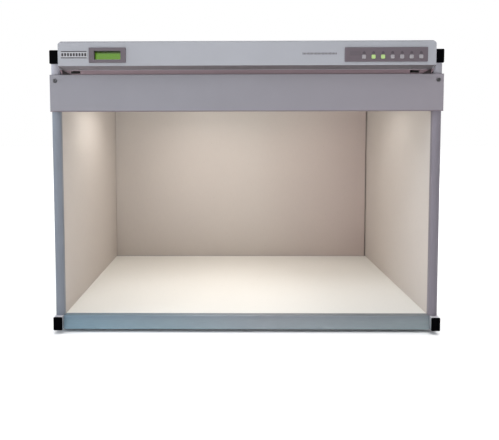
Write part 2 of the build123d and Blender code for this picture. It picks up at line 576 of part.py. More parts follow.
# ---- the whole booth, one entry per node ----
def booth():
    nodes = {
        "floor_panel": floor_panel(),
        "front_rail": rail(POST_Y, 1),
        "rear_rail": rail(REAR_Y, -1),
        "back_panel": back_panel(),
        "rear_cover": rear_cover(),
        "gear_tray": gear_tray(),
        "front_reflector": front_reflector(),
        "top_cover": top_cover(),
        "pelmet": pelmet(),
        "pod_shell": pod_shell(),
        "nameplate": nameplate(),
        "display_bezel": display_bezel(),
        "display_window": display_window(),
        "display_module": display_module(),
        "key_panel": key_panel(),
        "key_board": key_board(),
        "control_board": control_board(),
        "mains_inlet": mains_inlet(),
        "rocker_frame": rocker_frame(),
        "power_rocker": power_rocker(),
        "feet": group([foot(x, y) for x, y in FOOT_PLACES]),
        "foot_screws": group([foot_screw(x, y) for x, y in FOOT_PLACES]),
        "rear_screws": group([rear_screw(x, z) for x, z in REAR_SCREWS]),
        "pelmet_screws": group([pelmet_screw(side) for _, side in SIDES]),
        "frame_screws": group([frame_screw(side, y, top) for _, side in SIDES
                               for y in FRAME_SCREW_Y for top in (False, True)]),
        "lamp_caps": group([lamp_cap(side, y) for _, side in SIDES for y in LAMP_Y]),
        "lamp_holders": group([lamp_holder(side, y) for _, side in SIDES for y in LAMP_Y]),
        "bulb_holders": group([bulb_holder(side) for _, side in SIDES]),
        "rear_plugs": group([plug(side, mouth, 1, z) for _, side in SIDES
                             for mouth, z in ((BOTTOM_TUBE_Y[1], BOTTOM_TUBE_Z), (TOP_TUBE_Y[1], PANEL_TOP))]),
    }
    for name, side in SIDES:
        nodes[f"side_panel_{name}"] = side_panel(side)
        nodes[f"edge_trim_{name}"] = edge_trim(side)
        nodes[f"bottom_tube_{name}"] = frame_tube(side, BOTTOM_TUBE_Y, BOTTOM_TUBE_Z, top=False)
        nodes[f"top_tube_{name}"] = frame_tube(side, TOP_TUBE_Y, PANEL_TOP, top=True)
        nodes[f"plug_bottom_{name}"] = plug(side, BOTTOM_TUBE_Y[0], -1, BOTTOM_TUBE_Z)
        nodes[f"plug_top_{name}"] = plug(side, TOP_TUBE_Y[0], -1, PANEL_TOP)
        nodes[f"pod_bracket_{name}"] = pod_bracket(side)
        nodes[f"bulb_{name}"] = bulb(side)
    for index, y in enumerate(LAMP_Y):
        nodes[f"lamp_{index + 1}"] = lamp(y)
    for index, y in enumerate((-55.0, -5.0, 45.0)):
        nodes[f"ballast_{index + 1}"] = ballast(y)
    for index in range(KEY_COUNT):
        nodes[f"key_{index + 1}"] = key(index)
    return nodes


os.makedirs("parts", exist_ok=True)
for node, shape in booth().items():
    shape.label = node
    export_step(shape, f"parts/{node}.step")
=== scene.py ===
"""A colour assessment light booth, lit from inside: looks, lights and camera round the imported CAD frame."""

import math

import bmesh
import bpy
from mathutils import Matrix, Vector


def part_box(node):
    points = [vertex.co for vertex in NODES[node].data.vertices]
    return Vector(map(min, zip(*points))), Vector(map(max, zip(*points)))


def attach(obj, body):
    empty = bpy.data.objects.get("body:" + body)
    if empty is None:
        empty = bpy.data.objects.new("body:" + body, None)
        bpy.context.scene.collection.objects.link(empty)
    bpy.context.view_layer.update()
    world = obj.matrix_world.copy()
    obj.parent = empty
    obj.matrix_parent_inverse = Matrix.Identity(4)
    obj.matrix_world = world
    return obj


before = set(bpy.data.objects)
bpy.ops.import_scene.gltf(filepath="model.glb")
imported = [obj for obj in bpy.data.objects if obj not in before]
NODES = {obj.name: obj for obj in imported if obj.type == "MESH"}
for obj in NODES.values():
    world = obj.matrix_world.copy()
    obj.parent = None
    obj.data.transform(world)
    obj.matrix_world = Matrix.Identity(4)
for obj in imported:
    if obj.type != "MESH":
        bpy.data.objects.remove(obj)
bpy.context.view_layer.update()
SIDES = (("left", -1), ("right", 1))
ROOT = "cabinet"


# ---- node materials ----
MIX_FACTOR, MIX_FIRST, MIX_SECOND, MIX_RESULT = 0, 6, 7, 2    # the Mix node's sockets for colours


class Finish:
    """A node material under construction, with the textures it shares between its sockets."""

    def __init__(self, name, metallic=0.0, specular=0.5, coat=0.0, coat_rough=0.1):
        self.material = bpy.data.materials.new(name)
        self.material.use_nodes = True
        self.tree = self.material.node_tree
        self.shader = self.tree.nodes["Principled BSDF"]
        self.place = self.tree.nodes.new("ShaderNodeTexCoord").outputs["Object"]
        self.bumps = None
        self.set("Metallic", metallic)
        self.set("Specular IOR Level", specular)
        self.set("Coat Weight", coat)
        self.set("Coat Roughness", coat_rough)

    def set(self, socket, value):
        self.shader.inputs[socket].default_value = value
        return self

    def link(self, output, socket):
        self.tree.links.new(output, socket)

    def stretched(self, stretch):
        node = self.tree.nodes.new("ShaderNodeMapping")
        node.inputs["Scale"].default_value = stretch
        self.link(self.place, node.inputs["Vector"])
        return node.outputs["Vector"]

    def noise(self, scale, detail=3.0, rough=0.55, stretch=None):
        node = self.tree.nodes.new("ShaderNodeTexNoise")
        node.inputs["Scale"].default_value = scale
        node.inputs["Detail"].default_value = detail
        node.inputs["Roughness"].default_value = rough
        self.link(self.stretched(stretch) if stretch else self.place, node.inputs["Vector"])
        return node.outputs["Fac"]

    def spots(self, scale, low, high):
        """Scattered small specks as a mask."""
        node = self.tree.nodes.new("ShaderNodeTexVoronoi")
        node.inputs["Scale"].default_value = scale
        self.link(self.place, node.inputs["Vector"])
        return self.ranged(node.outputs["Distance"], 1.0, 0.0, low, high)

    def ranged(self, value, low, high, from_low=0.3, from_high=0.7):
        """The value, spread from one range to another and held at its ends."""
        node = self.tree.nodes.new("ShaderNodeMapRange")
        limits = {"From Min": from_low, "From Max": from_high, "To Min": low, "To Max": high}
        for socket, number in limits.items():
            node.inputs[socket].default_value = number
        self.link(value, node.inputs["Value"])
        return node.outputs["Result"]

    def math(self, operation, first, second):
        node = self.tree.nodes.new("ShaderNodeMath")
        node.operation = operation
        for socket, value in zip(node.inputs, (first, second)):
            if isinstance(value, float):
                socket.default_value = value
            else:
                self.link(value, socket)
        return node.outputs[0]

    def axis(self, letter, facing=False):
        """A coordinate of the point, or of the way that its surface faces, in the object's own frame."""
        split = self.tree.nodes.new("ShaderNodeSeparateXYZ")
        source = self.tree.nodes.new("ShaderNodeTexCoord").outputs["Normal"] if facing else self.place
        self.link(source, split.inputs[0])
        return split.outputs[letter]

    def front_of(self, limit_y):
        """1 on what faces the open front and lies in front of limit_y, and 0 elsewhere."""
        forward = self.math("LESS_THAN", self.axis("Y", facing=True), -0.9)
        return self.math("MULTIPLY", forward, self.math("LESS_THAN", self.axis("Y"), limit_y))

    def ramp(self, value, stops):
        """A colour for each value, from stops of (value, colour)."""
        node = self.tree.nodes.new("ShaderNodeValToRGB")
        band = node.color_ramp
        while len(band.elements) < len(stops):
            band.elements.new(0.5)
        for element, (at, colour) in zip(band.elements, stops):
            element.position = at
            element.color = (*colour, 1.0)
        self.link(value, node.inputs["Fac"])
        return node.outputs["Color"]

    def mixed(self, factor, first, second, blend="MIX"):
        node = self.tree.nodes.new("ShaderNodeMix")
        node.data_type = "RGBA"
        node.blend_type = blend
        for index, value in ((MIX_FACTOR, factor), (MIX_FIRST, first), (MIX_SECOND, second)):
            socket = node.inputs[index]
            if isinstance(value, (tuple, float)):
                socket.default_value = (*value, 1.0) if isinstance(value, tuple) else value
            else:
                self.link(value, socket)
        return node.outputs[MIX_RESULT]

    def colour(self, output):
        self.link(output, self.shader.inputs["Base Color"])
        return self

    def rough(self, value, low, high):
        self.link(self.ranged(value, low, high), self.shader.inputs["Roughness"])
        return self

    def bump(self, value, depth, strength=1.0):
        node = self.tree.nodes.new("ShaderNodeBump")
        node.inputs["Strength"].default_value = strength
        node.inputs["Distance"].default_value = depth
        self.link(value, node.inputs["Height"])
        if self.bumps is not None:
            self.link(self.bumps, node.inputs["Normal"])
        self.bumps = node.outputs["Normal"]
        self.link(self.bumps, self.shader.inputs["Normal"])
        return self


WHITE, BLACK = (1.0, 1.0, 1.0), (0.0, 0.0, 0.0)
# where the pelmet's painted shade towards its right end starts and where it is full
PELMET_LIT_X, PELMET_SHADED_X = -0.10, 0.36
# where the painted light on the pod's chin and strip is full, at the left end, and where it ends
POD_LIT_X, POD_SHADED_X = -0.33, -0.02
# the span of the rails' painted light and shade along X and up their height
TONES_START_X, TONES_END_X = -0.33, 0.33
TONES_LOW_Z, TONES_HIGH_Z = 0.008, 0.032


def shade(colour, by):
    return tuple(channel * by for channel in colour)


class Enamel(Finish):
    """Stove enamel: faint large clouds, fine orange peel, a little dust in the gloss."""

    def __init__(self, name, colour, cloud=0.04):
        super().__init__(name)
        clouds = self.noise(9.0, detail=4.0)
        self.grain = self.noise(900.0, detail=2.0)
        base = self.ramp(clouds, ((0.3, shade(colour, 1 - cloud)), (0.7, shade(colour, 1 + cloud))))
        self.base = self.mixed(self.ranged(self.grain, 0.0, 0.35), base, shade(colour, 0.9))

    def finished(self, output, rough):
        """The material in this colour, with the gloss and the orange peel added."""
        self.colour(output)
        self.rough(self.noise(60.0, detail=5.0), rough - 0.05, rough + 0.07)
        self.bump(self.grain, 0.00006, 0.5).bump(self.noise(260.0), 0.00008, 0.4)
        return self.material


def painted(name, colour, rough=0.42):
    """Enamel in one colour."""
    made = Enamel(name, colour, cloud=0.05)
    return made.finished(made.base, rough)


def pelmet_paint(name, colour, edge_z):
    """The pelmet's enamel with painted shade: a little warmer to the right and darker where its lower edge
    turns under.
    """
    made = Enamel(name, colour)
    red, green, blue = colour
    # painted shade: the enamel turns a little warmer and darker towards the right end
    right_painted_shade = made.ranged(made.axis("X"), 0.0, 1.0, PELMET_LIT_X, PELMET_SHADED_X)
    base = made.mixed(right_painted_shade, made.base, (red * 1.01, green * 0.95, blue * 0.95))
    # painted shade: a darker band along the lower edge, where the sheet turns under
    turn = made.ranged(made.axis("Z"), 1.0, 0.0, edge_z + 0.0008, edge_z + 0.0022)
    return made.finished(made.mixed(turn, base, (red * 0.70, green * 0.58, blue * 0.60)), 0.42)


def pod_paint(name, colour, chin, strip, strip_top):
    """The pod's enamel with painted shade: dark on the chin that slopes under it and violet-brown on the
    recessed strip, both painted lighter towards the left end.
    """
    made = Enamel(name, colour)
    # painted light: the chin and the strip lighter towards the left end
    left_painted_light = made.ranged(made.axis("X"), 1.0, 0.0, POD_LIT_X, POD_SHADED_X)
    # painted shade on the chin, which faces down
    under = made.ranged(made.axis("Z", facing=True), 1.0, 0.0, -0.35, -0.1)
    # painted shade on the recessed strip below the pod
    low = made.ranged(made.axis("Z"), 1.0, 0.0, strip_top - 0.0012, strip_top + 0.0002)
    base = made.mixed(under, made.base, made.mixed(left_painted_light, chin, shade(chin, 1.5)))
    base = made.mixed(low, base, made.mixed(left_painted_light, strip, shade(strip, 1.15)))
    return made.finished(base, 0.41)


def anodised(name, colour, along, pale=None, painted_light_tones=None):
    """Drawn and anodised aluminium: hair-fine die lines along the profile.

    pale is painted light: a lighter colour for what lies above a height, or faces up in front
    of a depth: (letter, from, to, colour). tones are stops of painted light and shade along X
    from end to end, and with them the profile is painted darker a little towards its top.
    """
    made = Finish(name, metallic=0.2, specular=0.4)
    stretch = tuple(0.02 if axis == along else 1.0 for axis in "XYZ")
    lines = made.noise(2200.0, detail=3.0, stretch=stretch)
    clouds = made.noise(14.0, detail=3.0)
    base = made.ramp(lines, ((0.25, shade(colour, 0.88)), (0.75, shade(colour, 1.08))))
    base = made.mixed(made.ranged(clouds, 0.0, 0.22), base, shade(colour, 0.8))
    if painted_light_tones:
        # painted light and shade along X: bluer and darker at the left end, warmer and darker at the right
        tint = made.ramp(made.ranged(made.axis("X"), 0.0, 1.0, TONES_START_X, TONES_END_X), painted_light_tones)
        # painted shade and reflection: lighter low down, darker towards the top
        top_painted_shade = made.ramp(made.ranged(made.axis("Z"), 0.0, 1.0, TONES_LOW_Z, TONES_HIGH_Z),
                         ((0.0, WHITE), (0.6, (0.92, 0.90, 0.90)), (1.0, (0.78, 0.75, 0.77))))
        base = made.mixed(1.0, made.mixed(1.0, base, tint, "MULTIPLY"), top_painted_shade, "MULTIPLY")
    # painted light: the posts paler at their upper ends, and a painted highlight on the tubes' up-facing
    # fronts
    if pale:
        letter, start, end, tone = pale
        mask = made.ranged(made.axis(letter), 0.0, 1.0, start, end)
        if letter == "Y":
            mask = made.math("MULTIPLY", mask, made.math("GREATER_THAN", made.axis("Z", facing=True), 0.8))
        base = made.mixed(mask, base, tone)
    made.colour(base)
    made.rough(lines, 0.36, 0.52)
    made.bump(lines, 0.00003, 0.35)
    return made.material


def board(name, colour, warm, painted_shade=None):
    """Matt lacquered board: roller stipple, faint cloudiness and stray specks.

    drift is (axis, from, to, tint), painted shade: the lacquer's colour takes on the tint between two places.
    """
    made = Finish(name, specular=0.25)
    clouds = made.noise(5.0, detail=5.0)
    stipple = made.noise(520.0, detail=4.0, rough=0.6)
    weave = made.noise(700.0, detail=2.0, stretch=(1.0, 1.0, 0.12))
    base = made.ramp(clouds, ((0.3, colour), (0.7, warm)))
    base = made.mixed(made.ranged(weave, 0.0, 0.3), base, shade(colour, 0.93))
    if painted_shade:
        # painted shade: the lacquer's colour multiplied by the tint between two places
        axis, start, end, tint = painted_shade
        share = made.ranged(made.axis(axis), 0.0, 1.0, start, end)
        base = made.mixed(1.0, base, made.ramp(share, ((0.0, WHITE), (1.0, tint))), "MULTIPLY")
    made.colour(made.mixed(made.spots(55.0, 0.02, 0.05), base, shade(colour, 0.72)))
    made.rough(stipple, 0.64, 0.78)
    made.bump(stipple, 0.00008, 0.6).bump(weave, 0.00005, 0.4)
    return made.material


def moulded(name, colour, rough=0.45, grain=1300.0, depth=0.00005, coat=0.0, lift=0.1, specular=0.45):
    """Moulded plastic or rubber: spark-eroded grain with a slightly worn sheen."""
    made = Finish(name, specular=specular, coat=coat, coat_rough=0.15)
    pits = made.noise(grain, detail=3.0)
    wear = made.noise(45.0, detail=5.0)
    base = made.ramp(wear, ((0.35, colour), (0.7, tuple(c + lift * (0.2 - c) * 0.12 for c in colour))))
    made.colour(made.mixed(made.ranged(pits, 0.0, 0.4), base, shade(colour, 0.75)))
    made.rough(wear, rough - 0.07, rough + 0.09)
    made.bump(pits, depth, 0.6)
    return made.material


def plated(name, colour, rough=0.32):
    """Zinc plating: pale crystals and a faint passivated tint."""
    made = Finish(name, metallic=0.9)
    crystals = made.tree.nodes.new("ShaderNodeTexVoronoi")
    crystals.inputs["Scale"].default_value = 260.0
    made.link(made.place, crystals.inputs["Vector"])
    tint = made.noise(30.0, detail=4.0)
    base = made.ramp(crystals.outputs["Distance"], ((0.1, shade(colour, 0.85)), (0.7, shade(colour, 1.1))))
    warm = (colour[0] * 0.98, colour[1] * 0.95, colour[2] * 0.82)
    made.colour(made.mixed(made.ranged(tint, 0.0, 0.5), base, warm))
    made.rough(tint, rough - 0.06, rough + 0.12)
    made.bump(made.noise(1500.0), 0.00003, 0.4)
    return made.material


def glowing(name, colour, glow, strength):
    """A lit surface, such as phosphor, a filament or a light-pipe key, with a faintly uneven glow."""
    made = Finish(name, coat=0.3)
    patch = made.noise(140.0, detail=2.0)
    made.colour(made.ramp(patch, ((0.3, shade(colour, 0.92)), (0.7, colour))))
    made.link(made.ramp(patch, ((0.25, shade(glow, 0.8)), (0.7, glow))), made.shader.inputs["Emission Color"])
    made.set("Emission Strength", strength)
    made.rough(patch, 0.26, 0.35)
    made.bump(made.noise(900.0), 0.00002, 0.3)
    return made.material


def lcd(name, low, high):
    """Backlit green cell of blank character blocks on its circuit board, its glow dimmed along its top and
    left by a painted shadow of its recess.
    """
    made = Finish(name, specular=0.4, coat=0.3)
    turned = made.tree.nodes.new("ShaderNodeMapping")
    turned.inputs["Rotation"].default_value = (math.radians(90), 0, 0)
    turned.inputs["Location"].default_value = (0.0004, 0.0, 0.0)
    made.link(made.place, turned.inputs["Vector"])
    blocks = made.tree.nodes.new("ShaderNodeTexBrick")
    blocks.offset = 0.0
    for socket, number in (("Scale", 1.0), ("Mortar Size", 0.00035), ("Mortar Smooth", 0.2),
                           ("Brick Width", 0.0026), ("Row Height", 0.0052)):
        blocks.inputs[socket].default_value = number
    for socket, colour in (("Color1", (0.180, 0.40, 0.035)), ("Color2", (0.188, 0.41, 0.038)),
                           ("Mortar", (0.215, 0.46, 0.048))):
        blocks.inputs[socket].default_value = (*colour, 1.0)
    made.link(turned.outputs["Vector"], blocks.inputs["Vector"])
    cell = made.front_of(low.y + 0.001)
    middle = (low + high) / 2
    # painted shadow: the bezel's recess shading the cell's top and left edges
    top_painted_shadow = made.ranged(made.axis("Z"), 1.0, 0.12, middle.z + 0.0030, middle.z + 0.0058)
    left_painted_shadow = made.ranged(made.axis("X"), 0.25, 1.0, middle.x - 0.0232, middle.x - 0.0212)
    lit = made.math("MINIMUM", top_painted_shadow, left_painted_shadow)
    patch = made.ranged(made.noise(60.0, detail=2.0), 0.0, 0.35)
    green = made.mixed(patch, blocks.outputs["Color"], (0.22, 0.40, 0.045))
    made.colour(made.mixed(cell, (0.012, 0.075, 0.030), green))
    glow = made.mixed(lit, (0.004, 0.010, 0.001), green)
    made.link(made.mixed(cell, BLACK, glow), made.shader.inputs["Emission Color"])
    made.set("Emission Strength", 0.66)
    made.rough(made.noise(300.0), 0.25, 0.4)
    made.bump(made.noise(1200.0), 0.00001, 0.3)
    return made.material


def pane(name, colour):
    """Clear glass or acrylic with a breath of haze."""
    made = Finish(name)
    made.set("Transmission Weight", 1.0)
    made.set("IOR", 1.45)
    haze = made.noise(80.0, detail=4.0)
    made.colour(made.ramp(haze, ((0.3, colour), (0.7, shade(colour, 0.97)))))
    made.rough(haze, 0.04, 0.09)
    return made.material


def circuit(name):
    """Solder-resist green with paler tracks under it."""
    made = Finish(name, coat=0.4)
    tracks = made.tree.nodes.new("ShaderNodeTexBrick")
    for socket, number in (("Scale", 1.0), ("Mortar Size", 0.0004), ("Mortar Smooth", 0.1),
                           ("Brick Width", 0.011), ("Row Height", 0.0027)):
        tracks.inputs[socket].default_value = number
    tracks.inputs["Color1"].default_value = (0.010, 0.070, 0.028, 1.0)
    tracks.inputs["Color2"].default_value = (0.012, 0.080, 0.032, 1.0)
    tracks.inputs["Mortar"].default_value = (0.022, 0.150, 0.055, 1.0)
    made.link(made.place, tracks.inputs["Vector"])
    made.colour(tracks.outputs["Color"])
    made.rough(made.noise(200.0), 0.3, 0.45)
    made.bump(tracks.outputs["Fac"], 0.00004, 0.5)
    return made.material


GREY_PELMET = (0.276, 0.272, 0.304)
GREY_POD = (0.385, 0.395, 0.430)
# painted shade: the dark chin under the pod and the darker, violet-brown recessed strip
CHIN_SHADE, STRIP_SHADE = (0.138, 0.125, 0.132), (0.240, 0.172, 0.192)
RAIL_ALU, TUBE_ALU = (0.366, 0.418, 0.478), (0.36, 0.38, 0.41)
# painted light and shade along the rails, from the left end to the right end
RAIL_PAINTED_LIGHT = (
    (0.0, (0.70, 0.93, 1.0)), (0.3, (0.88, 1.0, 1.0)), (0.55, (1.0, 1.0, 0.96)), (1.0, (0.86, 0.90, 0.84)))
# painted shade: the right post's aluminium is a darker, more violet copy of the left's
POST_ALU_LIT_AND_SHADED = {"left": (0.256, 0.283, 0.330), "right": (0.260, 0.239, 0.278)}
# painted light on the posts' upper ends, and a painted highlight on the tubes' tops
POST_LIT_COLOUR, TUBE_HIGHLIGHT = (0.400, 0.395, 0.440), (0.80, 0.80, 0.84)
WALL, WALL_WARM = (0.612, 0.568, 0.533), (0.637, 0.592, 0.553)
# painted shade: the back wall's lacquer is the side walls' lacquer made a little darker
BACK, BACK_WARM = shade(WALL, 0.965), shade(WALL_WARM, 0.96)
# painted shade: the back wall darker and browner towards its right end
BACK_PAINTED_SHADE = ("X", 0.04, 0.33, (0.93, 0.85, 0.85))
FLOOR, FLOOR_WARM = (0.835, 0.850, 0.820), (0.855, 0.870, 0.840)

POD_STRIP_TOP = 0.4815
# where the painted highlight on the tubes and the painted light on the posts lie
TUBE_FRONT_HIGHLIGHT = ("Y", -0.190, -0.196, TUBE_HIGHLIGHT)
POST_TOP_PAINTED_LIGHT = ("Z", 0.465, 0.475, POST_LIT_COLOUR)

LOOKS = {
    pelmet_paint("pelmet enamel", GREY_PELMET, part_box("pelmet")[0].z): ["pelmet"],
    pod_paint("pod enamel", GREY_POD, CHIN_SHADE, STRIP_SHADE, POD_STRIP_TOP): ["pod_shell"],
    painted("cover enamel", (0.36, 0.365, 0.395)): ["top_cover", "rear_cover"],
    painted("reflector enamel", (0.78, 0.78, 0.76), rough=0.5): ["gear_tray", "front_reflector"],
    anodised("rail aluminium", RAIL_ALU, "X", painted_light_tones=RAIL_PAINTED_LIGHT): ["front_rail", "rear_rail"],
    anodised("tube aluminium", TUBE_ALU, "Y", pale=TUBE_FRONT_HIGHLIGHT): [
        f"{level}_tube_{name}" for level in ("top", "bottom") for name, _ in SIDES],
    # the two posts: lit and shaded copies of one aluminium
    anodised("left post aluminium", POST_ALU_LIT_AND_SHADED["left"], "Z", pale=POST_TOP_PAINTED_LIGHT): ["edge_trim_left"],
    anodised("right post aluminium", POST_ALU_LIT_AND_SHADED["right"], "Z", pale=POST_TOP_PAINTED_LIGHT): ["edge_trim_right"],
    board("wall lacquer", WALL, WALL_WARM): ["side_panel_left", "side_panel_right"],
    board("back wall lacquer", BACK, BACK_WARM, painted_shade=BACK_PAINTED_SHADE): ["back_panel"],
    board("floor lacquer", FLOOR, FLOOR_WARM): ["floor_panel"],
    moulded("plug plastic", (0.001, 0.001, 0.002), rough=0.62, specular=0.04, lift=0.0): [
        "plug_bottom_left", "plug_bottom_right", "plug_top_left", "plug_top_right", "rear_plugs"],
    moulded("inlet plastic", (0.018, 0.018, 0.020), rough=0.42): ["mains_inlet", "rocker_frame"],
    moulded("rocker plastic", (0.010, 0.010, 0.011), rough=0.22, coat=0.4): ["power_rocker"],
    moulded("foot rubber", (0.020, 0.020, 0.021), rough=0.72, grain=700.0, depth=0.0001): ["feet"],
    # painted shade: the pod's brackets get a dark brown that stands for the shade at the pod's ends
    moulded("bracket plastic", (0.035, 0.026, 0.028), rough=0.6): ["pod_bracket_left", "pod_bracket_right"],
    moulded("bezel plastic", (0.145, 0.122, 0.140), rough=0.5, grain=1000.0): ["display_bezel"],
    moulded("fascia film", (0.145, 0.119, 0.137), rough=0.46, grain=1500.0, depth=0.00003): ["key_panel"],
    moulded("key plastic", (0.355, 0.335, 0.355), rough=0.3, depth=0.00002, coat=0.2): [
        f"key_{index}" for index in (1, 4, 5, 6, 7)],
    moulded("holder plastic", (0.72, 0.72, 0.69), rough=0.4): ["lamp_holders"],
    moulded("holder ceramic", (0.75, 0.73, 0.68), rough=0.2, coat=0.5): ["bulb_holders"],
    plated("zinc", (0.55, 0.56, 0.57)): [
        "foot_screws", "rear_screws", "frame_screws", "lamp_caps", "ballast_1", "ballast_2", "ballast_3"],
    plated("black zinc", (0.19, 0.19, 0.205), rough=0.45): ["pelmet_screws"],
    painted("plate enamel", (0.465, 0.470, 0.495), rough=0.35): ["nameplate"],
    pane("window acrylic", (0.93, 0.97, 0.93)): ["display_window"],
    lcd("display cell", *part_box("display_module")): ["display_module"],
    glowing("lit key", (0.38, 0.53, 0.22), (0.36, 0.54, 0.18), 0.27): ["key_2", "key_3"],
    circuit("circuit board"): ["key_board", "control_board"],
    glowing("lamp phosphor", (0.9, 0.9, 0.87), (1.0, 0.95, 0.86), 0.40): [
        f"lamp_{index}" for index in range(1, 6)],
    pane("bulb glass", (0.97, 0.95, 0.90)): ["bulb_left", "bulb_right"],
}
for material, names in LOOKS.items():
    for name in names:
        slots = NODES[name].data.materials
        slots.clear()
        slots.append(material)


# ---- camera ----
CAMERA_AT = Vector((-0.0290, -1.03005, 0.37671))
YAW, PITCH, ROLL = math.radians(0.534), math.radians(2.939), math.radians(-0.117)
SENSOR_MM, LENS_MM = 36.0, 33.2925
SHIFT_X, SHIFT_Y = 0.04792, -0.13644


def make_camera():
    """The main view: from a little left of the middle and high on the chamber, looking slightly down."""
    up, right = Vector((0, 0, 1)), Vector((math.cos(YAW), math.sin(YAW), 0))
    ahead = Vector((-math.sin(YAW), math.cos(YAW), 0))
    forward = ahead * math.cos(PITCH) - up * math.sin(PITCH)
    over = up * math.cos(PITCH) + ahead * math.sin(PITCH)
    side = right * math.cos(ROLL) + over * math.sin(ROLL)
    over = over * math.cos(ROLL) - right * math.sin(ROLL)
    data = bpy.data.cameras.new("camera")
    data.sensor_width, data.lens = SENSOR_MM, LENS_MM
    data.shift_x, data.shift_y = SHIFT_X, SHIFT_Y
    data.clip_start, data.clip_end = 0.01, 60.0
    camera = bpy.data.objects.new("camera", data)
    camera.matrix_world = Matrix.Translation(CAMERA_AT) @ Matrix((side, over, -forward)).transposed().to_4x4()
    bpy.context.scene.collection.objects.link(camera)
    bpy.context.scene.camera = camera


# ---- lights and stage ----
def aimed(name, data, position, target):
    """Puts a light in the scene, turned towards a target and hidden from the camera."""
    turn = (Vector(target) - Vector(position)).to_track_quat("-Z", "Y").to_matrix().to_4x4()
    light = bpy.data.objects.new(name, data)
    light.matrix_world = Matrix.Translation(Vector(position)) @ turn
    light.visible_camera = False
    bpy.context.scene.collection.objects.link(light)
    return light


def area_light(name, position, target, size, power, colour, spread=180.0):
    data = bpy.data.lights.new(name, "AREA")
    data.shape = "RECTANGLE"
    data.size, data.size_y = size
    data.energy, data.color = power, colour
    data.spread = math.radians(spread)
    aimed(name, data, position, target).visible_glossy = name.startswith("studio")


def spot_light(name, position, target, power, colour, angle, radius):
    data = bpy.data.lights.new(name, "SPOT")
    data.energy, data.color = power, colour
    data.spot_size, data.spot_blend = math.radians(angle), 1.0
    data.shadow_soft_size = radius
    aimed(name, data, position, target)


LAMP_PLANE = 0.458
LAMP_TINT, TUNGSTEN_TINT = (1.0, 0.84, 0.74), (1.0, 0.97, 0.93)
BEAM_TINT = (1.0, 0.97, 0.94)
STUDIO_TINT, DAYLIGHT_TINT = (0.99, 0.98, 1.0), (0.78, 0.89, 1.0)

# name, middle in X and Y, size, power
LAMP_GROUPS = (
    ("rear lamps", (-0.015, 0.055), (0.54, 0.13), 0.282),
    ("centre lamps", (-0.030, -0.020), (0.22, 0.20), 0.175),
)
# name, position, target, power, colour, beam angle, radius
BEAMS = (
    ("left pool", (-0.235, -0.040, 0.455), (-0.335, -0.040, 0.330), 1.12, TUNGSTEN_TINT, 110, 0.03),
    ("right pool", (0.235, -0.040, 0.455), (0.335, -0.040, 0.330), 0.37, TUNGSTEN_TINT, 110, 0.03),
    ("right low pool", (0.235, -0.040, 0.455), (0.335, -0.040, 0.300), 0.33, TUNGSTEN_TINT, 80, 0.03),
    ("floor beam", (-0.030, -0.100, 0.450), (-0.030, -0.160, 0.0), 2.05, BEAM_TINT, 90, 0.03),
    ("back beam", (-0.070, -0.120, 0.445), (-0.080, 0.203, 0.285), 0.66, BEAM_TINT, 60, 0.02),
)
# name, position, target, size, power, colour
STUDIO = (
    ("studio key", (-0.5, -2.4, 1.1), (0.0, 0.0, 0.30), (1.6, 1.2), 7.0, STUDIO_TINT),
    ("studio left", (-1.6, -1.4, 0.6), (0.0, 0.0, 0.30), (1.0, 1.0), 2.0, STUDIO_TINT),
    ("studio brow", (0.0, -1.0, 1.6), (0.0, -0.1, 0.10), (1.0, 0.6), 5.0, STUDIO_TINT),
    ("studio top", (0.0, -0.6, 2.0), (0.0, -0.1, 0.30), (1.2, 1.2), 4.6, STUDIO_TINT),
    ("studio rear", (0.9, 2.6, 1.5), (0.0, 0.2, 0.25), (1.6, 1.2), 16.0, STUDIO_TINT),
    ("studio right rear", (2.4, 0.9, 1.0), (0.3, 0.1, 0.25), (1.2, 1.2), 6.0, STUDIO_TINT),
    ("studio side", (-2.6, -0.7, 1.2), (0.33, -0.12, 0.15), (0.8, 0.8), 18.5, DAYLIGHT_TINT),
)


def make_lights():
    """The lamps' light under the tray, the beams and pools of their reflectors, and a soft studio."""
    for name, middle, size, power in LAMP_GROUPS:
        area_light(name, (*middle, LAMP_PLANE), (*middle, 0.0), size, power, LAMP_TINT, spread=130.0)
    for beam in BEAMS:
        spot_light(*beam)
    for light in STUDIO:
        area_light(*light)


AMBIENT = 0.19


def make_world():
    """A white studio: a paper-white backdrop to look at, and a dimmer even light from it."""
    world = bpy.data.worlds.new("studio")
    world.use_nodes = True
    tree = world.node_tree
    seen = tree.nodes.new("ShaderNodeLightPath")
    level = tree.nodes.new("ShaderNodeMapRange")
    level.inputs["To Min"].default_value, level.inputs["To Max"].default_value = AMBIENT, 1.0
    tree.links.new(seen.outputs["Is Camera Ray"], level.inputs["Value"])
    tree.nodes["Background"].inputs["Color"].default_value = (*WHITE, 1.0)
    tree.links.new(level.outputs["Result"], tree.nodes["Background"].inputs["Strength"])
    bpy.context.scene.world = world
    bpy.context.scene.view_settings.view_transform = "Standard"


FLOOR_HALF = 8.0
GLOW_FROM, GLOW_TO, FAR_GLOW = 0.7, 1.7, 0.16
SUN_POWER, SUN_ANGLE = 2.7, math.radians(50)


